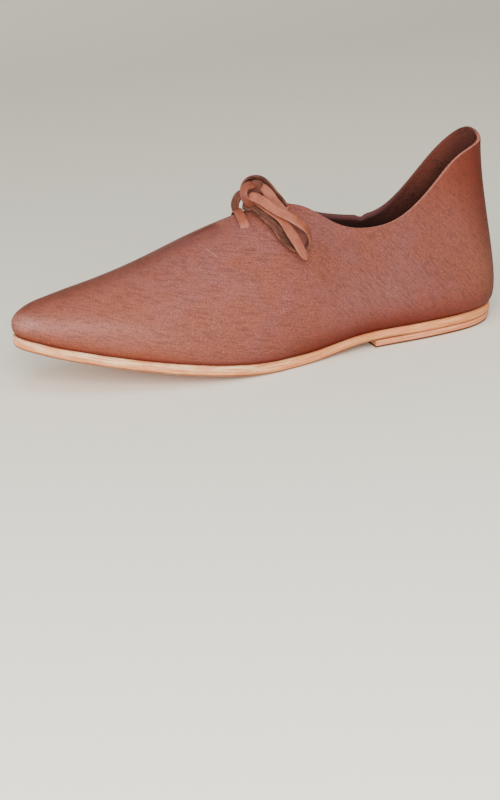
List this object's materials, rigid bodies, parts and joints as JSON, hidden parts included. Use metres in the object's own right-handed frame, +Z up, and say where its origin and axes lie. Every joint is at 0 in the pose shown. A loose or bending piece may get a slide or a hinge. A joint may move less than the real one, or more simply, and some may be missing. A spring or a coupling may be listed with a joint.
{
  "type": "medieval shoe",
  "caption": "Low leather shoe for the left foot with a slim rounded toe, a high back, a throat slit tied with a thong, and a leather sole with one heel lift.",
  "frame": {"origin": "on the floor under the middle of the heel, on the bottom face of the heel lift, 40 mm ahead of the back edge of the sole", "axes": "+X towards the toe, +Y towards the outer side of the foot, +Z up from the floor"},
  "size_m": [0.3032, 0.0956, 0.1166],
  "materials": {
    "sole_leather": "smooth vegetable-tanned sole leather, pale cut edge",
    "lift_leather": "smooth red-brown sole leather",
    "insole_leather": "plain leather",
    "upper_leather": "brown pebbled leather, satin",
    "thong_leather": "light orange-tan thong leather, dull"
  },
  "bodies": {
    "root": {"outsole": "sole_leather", "heel_lift": "lift_leather", "insole": "insole_leather", "upper": "upper_leather", "lace_bar": "thong_leather", "lace_knot": "thong_leather", "lace_loop_lateral": "thong_leather", "lace_loop_medial": "thong_leather", "lace_end_lateral": "thong_leather", "lace_end_medial": "thong_leather"}
  },
  "joints": []
}
